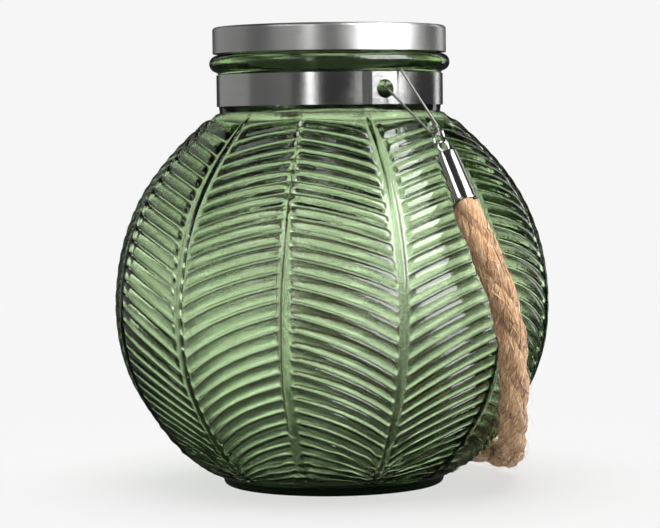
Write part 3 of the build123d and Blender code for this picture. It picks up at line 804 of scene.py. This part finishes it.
def neck_outline():
    """Undercut above the shoulder, neck, bead and finish, up to the rim."""
    outline = [(48.9, 158.7), (47.9, 159.0), (NECK_ROOT_R + 0.2, 159.2), (NECK_ROOT_R, 159.35)]
    outline += [(NECK_ROOT_R + 0.05, 159.6), (NECK_R - 0.1, 161.9), (NECK_R, 162.2), (NECK_R, 162.6)]
    outline += [(NECK_R, 175.6)]
    outline += arc_points((NECK_R, BEAD_Z), (BEAD_R - NECK_R, BEAD_HALF), -80, 80, 12)
    outline += [(FINISH_R + 0.1, BEAD_Z + BEAD_HALF + 0.3)]
    outline += [(FINISH_R, FINISH_FOOT + FINISH_ROW * row) for row in range(FINISH_ROWS)]
    return outline + arc_points((FINISH_R - RIM_ROUND, RIM_Z - RIM_ROUND), (RIM_ROUND, RIM_ROUND), 0, 90, 4)


def mouth_outline():
    """Inside of the rim and of the neck."""
    edge = [(MOUTH_R + 0.8, RIM_Z), (MOUTH_R + 0.2, RIM_Z - 0.3), (MOUTH_R, RIM_Z - 0.9)]
    return edge + [(MOUTH_R, 180.0), (MOUTH_R, 170.0), (MOUTH_R, 162.0)]


def build_jar(glass):
    """The jar as one closed skin: rings of points from the underside, over the rim, to the inner floor."""
    columns = column_table()
    angles = [column[0] for column in columns]
    wall, wall_rows = outer_wall(columns)
    foot = foot_outline()
    neck = neck_outline()
    inner = mouth_outline() + hollow_outline()

    points = []
    for radius, height in foot:
        for angle in angles:
            points.append((radius * math.cos(angle), radius * math.sin(angle), height))
    points += wall
    for radius, height in neck:
        for angle in angles:
            reach = radius
            if radius == FINISH_R:
                reach += thread_height(angle, height)
            points.append((reach * math.cos(angle), reach * math.sin(angle), height))
    outer_count = len(points)
    for radius, height in inner:
        for angle in angles:
            points.append((radius * math.cos(angle), radius * math.sin(angle), height))
    rows = len(foot) + wall_rows + len(neck) + len(inner)
    count = len(angles)
    faces = grid_faces(rows, count)
    faces.append(tuple(reversed(range(count))))
    faces.append(tuple(range((rows - 1) * count, rows * count)))
    jar = add_mesh("jar_glass", [Vector(point) * MM for point in points], faces)
    wall_mark = jar.data.attributes.new("inner_wall", "FLOAT", "POINT")
    values = np.zeros(len(jar.data.vertices), np.float32)
    values[outer_count:] = 1.0
    wall_mark.data.foreach_set("value", values)
    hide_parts("glass_jar")
    return dress(jar, glass, "jar")


# ======================= the rope handle =======================


def rope_taper(along, total):
    """The rope narrows a little where it goes up into each ferrule."""
    near = min(along, total - along) / TAPER_RUN
    share = min(max(near, 0.0), 1.0)
    return 1 - TAPER_SHARE + TAPER_SHARE * share * share * (3 - 2 * share)


def strand_lines(line, lengths):
    """Middle lines of the three strands laid round the rope's line."""
    sides, tangents = transported_frames(line)
    strands = []
    for strand in range(STRANDS):
        centres = []
        for point, side, tangent, along in zip(line, sides, tangents, lengths):
            turn = -2 * math.pi * (along / ROPE_LAY + strand / STRANDS)
            other = tangent.cross(side)
            reach = (ROPE_D / 2 - STRAND_R) * rope_taper(along, lengths[-1])
            centres.append(point + (side * math.cos(turn) + other * math.sin(turn)) * reach)
        strands.append(centres)
    return strands


def yarn_swell(strand, along, angle):
    """Uneven surface of a strand: yarns that wind round it, and lumps."""
    wound = angle - 2 * math.pi * along / YARN_LAY
    yarns = YARN_SWELL * abs(math.cos(YARN_LINES * wound))
    lumps = []
    for swell, (round_it, along_it) in ((LUMP_SWELL, LUMP_SCALE), (FINE_SWELL, FINE_SCALE)):
        deep = along * along_it + strand * STRAND_APART
        spot = Vector((math.cos(wound) * round_it, math.sin(wound) * round_it, deep))
        lumps.append(swell * noise.noise(spot))
    return yarns - MEAN_SWELL + lumps[0] + lumps[1]


def build_rope(jute):
    """Three strands, their loose fibres and the ferrules, all attached to the handle's body."""
    line = nurbs_line("rope_line", ROPE_FRONT + ROPE_BACK)
    lengths = [0.0]
    for before, after in zip(line, line[1:]):
        lengths.append(lengths[-1] + (after - before).length)
    strands = strand_lines(line, lengths)
    around = STRAND_SIDES
    points = []
    faces = []
    places = []
    for strand, centres in enumerate(strands):

        def radius_at(i, angle):
            swell = 1 + yarn_swell(strand, lengths[i], angle)
            return STRAND_R * rope_taper(lengths[i], lengths[-1]) * swell

        first = len(points)
        points += tube_points(centres, radius_at, around)
        for along in lengths:
            for j in range(around):
                places.append((j / around - along / YARN_LAY, along * STREAK_SCALE, strand))
        for face in grid_faces(len(centres), around):
            faces.append(tuple(first + corner for corner in face))
        faces.append(tuple(first + j for j in reversed(range(around))))
        faces.append(tuple(len(points) - around + j for j in range(around)))
    rope = add_mesh("rope_strands", points, faces)
    mark_fibres(rope, places, [0.5] * len(points))
    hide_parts("rope_handle")
    dress(rope, jute, "handle")
    fibres = build_fibres(strands, lengths, jute)
    ends = build_ferrules()
    return rope


def mark_fibres(piece, places, tones):
    """Attributes that the jute material reads: place along the fibres, and how pale one is."""
    mark = piece.data.attributes.new("fibre_place", "FLOAT_VECTOR", "POINT")
    mark.data.foreach_set("vector", np.array(places, np.float32).ravel())
    tone = piece.data.attributes.new("fibre_tone", "FLOAT", "POINT")
    tone.data.foreach_set("value", np.array(tones, np.float32))


def fibre_line(rng, strand, centres, sides, tangents, lengths, stray):
    """Points of one fibre on a strand, and how far along the rope it starts."""
    span = rng.randrange(*FIBRE_SPAN)
    start = rng.randrange(FIBRE_CLEAR, len(centres) - span - FIBRE_CLEAR)
    lift = rng.uniform(*(STRAY_LIFT if stray else LAID_LIFT))
    arch = rng.random() < 0.5
    angle = rng.uniform(0, 2 * math.pi)
    slant = rng.gauss(0.0, FIBRE_SLANT)
    hair = []
    for step in range(FIBRE_POINTS):
        share = step / (FIBRE_POINTS - 1)
        i = start + round(span * share)
        along = lengths[i]
        turn = angle + 2 * math.pi * (along - lengths[start]) / YARN_LAY + slant * share
        other = tangents[i].cross(sides[i])
        out = sides[i] * math.cos(turn) + other * math.sin(turn)
        swell = 1 + yarn_swell(strand, along, turn)
        rise = math.sin(math.pi * share) if arch else share**2
        reach = STRAND_R * rope_taper(along, lengths[-1]) * swell + lift * rise
        hair.append(centres[i] + out * reach)
    return hair, lengths[start]


def build_fibres(strands, lengths, jute):
    """Single fibres: most lie along the strands, some stand out of them."""
    rng = random.Random(FIBRE_SEED)
    frames = [transported_frames(centres) for centres in strands]
    points = []
    faces = []
    places = []
    tones = []
    corners = FIBRE_SIDES * FIBRE_POINTS
    for number in range(FIBRES):
        strand = rng.randrange(STRANDS)
        stray = number % STRAY_EVERY == 0
        hair, begins = fibre_line(rng, strand, strands[strand], *frames[strand], lengths, stray)
        thick = rng.uniform(*(STRAY_R if stray else LAID_R))
        first = len(points)
        points += tube_points(hair, lambda k, _: thick * (1.15 - k / FIBRE_POINTS), FIBRE_SIDES)
        places += [(rng.random(), begins * STREAK_SCALE, 0.0)] * corners
        tones += [rng.random()] * corners
        for face in grid_faces(FIBRE_POINTS, FIBRE_SIDES):
            faces.append(tuple(first + corner for corner in face))
    fibres = add_mesh("rope_fibres", points, faces)
    mark_fibres(fibres, places, tones)
    return dress(fibres, jute, "handle")


def ferrule_outline():
    """Radius of a ferrule and distance in front of its mouth, from the hole inside to the hole outside."""
    floor = FERRULE_END - FERRULE_LENGTH
    outline = [(FERRULE_HOLE_R, floor), (FERRULE_TOP_R - FERRULE_WALL, floor)]
    outline += [(FERRULE_MOUTH_R - FERRULE_WALL, 0.0), (FERRULE_MOUTH_R, -LIP / 2)]
    for step in range(7):
        angle = math.pi * step / 6
        outline.append((FERRULE_MOUTH_R + BEAD_OUT * math.sin(angle), -LIP - BEAD_LONG * step / 6))
    for step in range(9):
        share = step / 8
        radius = FERRULE_MOUTH_R + (FERRULE_TOP_R - FERRULE_MOUTH_R) * share
        outline.append((radius, -BODY_START - (FERRULE_LENGTH - BODY_START - FERRULE_ROUND) * share))
    for step in range(1, 8):
        angle = math.pi / 2 * step / 7
        inset = FERRULE_ROUND * (1 - math.cos(angle))
        height = -FERRULE_LENGTH + FERRULE_ROUND * (1 - math.sin(angle))
        outline.append((FERRULE_TOP_R - inset, height))
    return outline + [(FERRULE_FLAT_R, -FERRULE_LENGTH), (FERRULE_HOLE_R, -FERRULE_LENGTH)]


def build_ferrules():
    """Drawn cups with a rounded closed end and a rolled mouth, on both ends of the rope."""
    chrome = bright_finish("chrome", (0.8, 0.79, 0.77), 0.07)
    outline = ferrule_outline()
    made = []
    for end, route in (("front", ROPE_FRONT), ("back", list(reversed(ROPE_BACK)))):
        origin = Vector(route[0])
        axis = (Vector(route[1]) - origin).normalized()
        side = axis.orthogonal().normalized()
        other = axis.cross(side)
        points = []
        for radius, height in outline:
            for column in range(FERRULE_SIDES):
                angle = 2 * math.pi * column / FERRULE_SIDES
                out = side * math.cos(angle) + other * math.sin(angle)
                points.append(origin + axis * height + out * radius)
        faces = grid_faces(len(outline), FERRULE_SIDES)
        last = (len(outline) - 1) * FERRULE_SIDES
        for i in range(FERRULE_SIDES):
            after = (i + 1) % FERRULE_SIDES
            faces.append((last + i, last + after, after, i))
        cup = add_mesh("ferrule_cup_" + end, points, faces)
        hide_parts("ferrule_" + end)
        made.append(dress(cup, chrome, "handle"))
    return made


# ======================= stage =======================


def stage_finish(name, colour, glow):
    """Matt studio surface that also glows evenly."""
    made = Finish(name, Base_Color=(*colour, 1), Roughness=1.0, Emission_Color=(1, 1, 1, 1))
    made.shader.inputs["Specular IOR Level"].default_value = 0.0
    made.shader.inputs["Emission Strength"].default_value = glow
    return made


def build_stage():
    """Pale floor, the pale wall that the camera sees, and a brighter one that shows through the glass."""
    around = STAGE_SIDES
    points = [(0, 0, 0)]
    for column in range(around):
        angle = 2 * math.pi * column / around
        points.append((WALL_R * math.cos(angle), WALL_R * math.sin(angle), 0))
    faces = [(0, 1 + i, 1 + (i + 1) % around) for i in range(around)]
    floor = add_mesh("studio_floor", points, faces, smooth=False)
    pale = stage_finish("studio_floor", (FLOOR_SHADE, FLOOR_SHADE, FLOOR_SHADE), FLOOR_GLOW)
    floor.data.materials.append(pale.material)
    floor.visible_transmission = False
    floor.visible_glossy = False
    wall = build_wall("studio_wall", WALL_R, WALL_H, WALL_LIGHT)
    wall.visible_transmission = False
    glow = build_wall("studio_glow", WALL_R - BACK_GAP, BACK_H, BACK_LIGHT)
    glow.visible_camera = False


def build_wall(name, reach, top, light):
    """Bright ring round the studio that metal doesn't mirror and the floor doesn't gather."""
    around = STAGE_SIDES
    ring = []
    for height in (0.0, top):
        for column in range(around):
            angle = 2 * math.pi * column / around
            ring.append((reach * math.cos(angle), reach * math.sin(angle), height))
    wall = add_mesh(name, ring, grid_faces(2, around))
    wall.data.materials.append(stage_finish(name, (0.0, 0.0, 0.0), light).material)
    wall.visible_glossy = False
    wall.visible_diffuse = False
    wall.visible_shadow = False
    return wall


def toward(azimuth, elevation):
    """Direction to a light, by its bearing from the camera's line of sight."""
    around = math.radians(CAMERA_AZIMUTH + azimuth)
    rise = math.radians(elevation)
    flat = math.cos(rise)
    return Vector((math.sin(around) * flat, -math.cos(around) * flat, math.sin(rise)))


def soft_box(name, azimuth, elevation, distance, size, brightness):
    """Soft box aimed at the object, placed by its bearing from the camera's line of sight."""
    data = bpy.data.lights.new(name, "AREA")
    data.shape = "RECTANGLE"
    data.size, data.size_y = size
    data.energy = brightness * math.pi * size[0] * size[1]
    lamp = bpy.data.objects.new(name, data)
    bpy.context.scene.collection.objects.link(lamp)
    back = toward(azimuth, elevation)
    lamp.location = CAMERA_AIM + back * distance
    lamp.rotation_mode = "QUATERNION"
    lamp.rotation_quaternion = back.to_track_quat("Z", "Y")
    return lamp


def broad_sun(name, azimuth, elevation, energy, spread):
    """Even light from a wide patch of the ceiling, for what is matt."""
    data = bpy.data.lights.new(name, "SUN")
    data.energy = energy
    data.angle = math.radians(spread)
    lamp = bpy.data.objects.new(name, data)
    bpy.context.scene.collection.objects.link(lamp)
    lamp.rotation_mode = "QUATERNION"
    lamp.rotation_quaternion = toward(azimuth, elevation).to_track_quat("Z", "Y")
    lamp.visible_glossy = False
    lamp.visible_transmission = False
    return lamp


def keep_off(lamp, name):
    """Leave one object out of what a lamp lights."""
    lit = bpy.data.collections.new("not_lit_by_" + lamp.name)
    lit.objects.link(bpy.data.objects[name])
    lamp.light_linking.receiver_collection = lit
    lit.collection_objects[0].light_linking.link_state = "EXCLUDE"


def build_lights():
    """Boxes that are mirrored in metal and glass, and two broad lights for what is matt."""
    for box in SOFT_BOXES:
        lamp = soft_box(*box)
        lamp.visible_diffuse = False
        lamp.visible_camera = False
    for name, azimuth, elevation, brightness, spread, unlit in SUNS:
        lamp = broad_sun(name, azimuth, elevation, brightness, spread)
        for piece in unlit:
            keep_off(lamp, piece)
    world = bpy.data.worlds.new("studio")
    world.use_nodes = True
    room = world.node_tree.nodes["Background"]
    room.inputs["Color"].default_value = (1, 1, 1, 1)
    room.inputs["Strength"].default_value = ROOM_LIGHT
    bpy.context.scene.world = world
    bpy.context.scene.view_settings.view_transform = "Standard"


def build_camera():
    """Long lens in front of the jar, a little above its middle, rolled as the photograph is."""
    data = bpy.data.cameras.new("camera")
    data.lens = CAMERA_LENS
    data.sensor_width = SENSOR_WIDTH
    camera = bpy.data.objects.new("camera", data)
    bpy.context.scene.collection.objects.link(camera)
    around = math.radians(CAMERA_AZIMUTH)
    flat = Vector((math.sin(around), -math.cos(around), 0)) * CAMERA_DISTANCE
    side = Vector((math.cos(around), math.sin(around), 0)) * CAMERA_SIDE
    camera.location = flat + side + Vector((0, 0, CAMERA_EYE))
    sight = (camera.location - CAMERA_AIM - side).to_track_quat("Z", "Y")
    roll = Matrix.Rotation(math.radians(-CAMERA_ROLL), 4, "Z").to_quaternion()
    camera.rotation_mode = "QUATERNION"
    camera.rotation_quaternion = sight @ roll
    bpy.context.scene.camera = camera


# ======================= everything together =======================


def clothe_cad_nodes():
    """Materials of the CAD nodes that are kept as they are."""
    wire = bright_finish("wire_steel", (0.66, 0.66, 0.64), 0.16)
    hanger = bright_finish("hanger_steel", (0.3, 0.3, 0.29), 0.3)
    screw = bright_finish("screw_steel", (0.7, 0.68, 0.62), 0.25)
    spring = bright_finish("spring_steel", (0.68, 0.67, 0.63), 0.28)
    lid = brushed_finish("lid_steel", (0.78, 0.78, 0.77), 0.36, 0.6)
    # inside=0.048 paints shade, a near-black base colour, on the band's inner face
    band = brushed_finish("band_steel", (0.74, 0.74, 0.73), 0.2, 0.6, inside=0.048)
    insert = plastic_finish("insert_plastic", (0.03, 0.03, 0.03), (0.05, 0.05, 0.05), 0.4)
    module = plastic_finish("module_plastic", (0.02, 0.02, 0.02), (0.035, 0.035, 0.035), 0.4)
    gasket = plastic_finish("gasket", (0.06, 0.06, 0.06), (0.09, 0.09, 0.09), 0.55)
    chip = plastic_finish("component", (0.02, 0.02, 0.022), (0.04, 0.04, 0.045), 0.45)
    red = plastic_finish("wire_red", (0.45, 0.02, 0.015), (0.55, 0.03, 0.02), 0.35)
    black = plastic_finish("wire_black", (0.015, 0.015, 0.015), (0.03, 0.03, 0.03), 0.35)
    window = clear_finish("window_plastic", (0.9, 0.93, 0.95))
    lens = clear_finish("led_lens", (0.95, 0.92, 0.8))
    table = {
        "lid_cap": lid,
        "neck_band": band,
        "lid_insert": insert,
        "lid_gasket": gasket,
        "solar_window": window,
        "solar_panel": panel_finish(),
        "module_housing": module,
        "battery_door": module,
        "switch_body": module,
        "switch_knob": module,
        "housing_screws": screw,
        "door_screw": screw,
        "circuit_board": board_finish(),
        "board_components": chip,
        "leds": lens,
        "battery": battery_finish(),
        "battery_contact": spring,
        "battery_spring": spring,
        "panel_lead_red": red,
        "battery_lead_red": red,
        "panel_lead_black": black,
        "battery_lead_black": black,
    }
    for end in ("front", "back"):
        table["ferrule_eye_" + end] = wire
        table["jump_ring_" + end] = wire
        table["hanger_wire_" + end] = hanger
    for node, finish in table.items():
        clothe(node, finish)


build_camera()
build_rope(jute_finish())
build_jar(glass_finish())
clothe_cad_nodes()
build_stage()
build_lights()
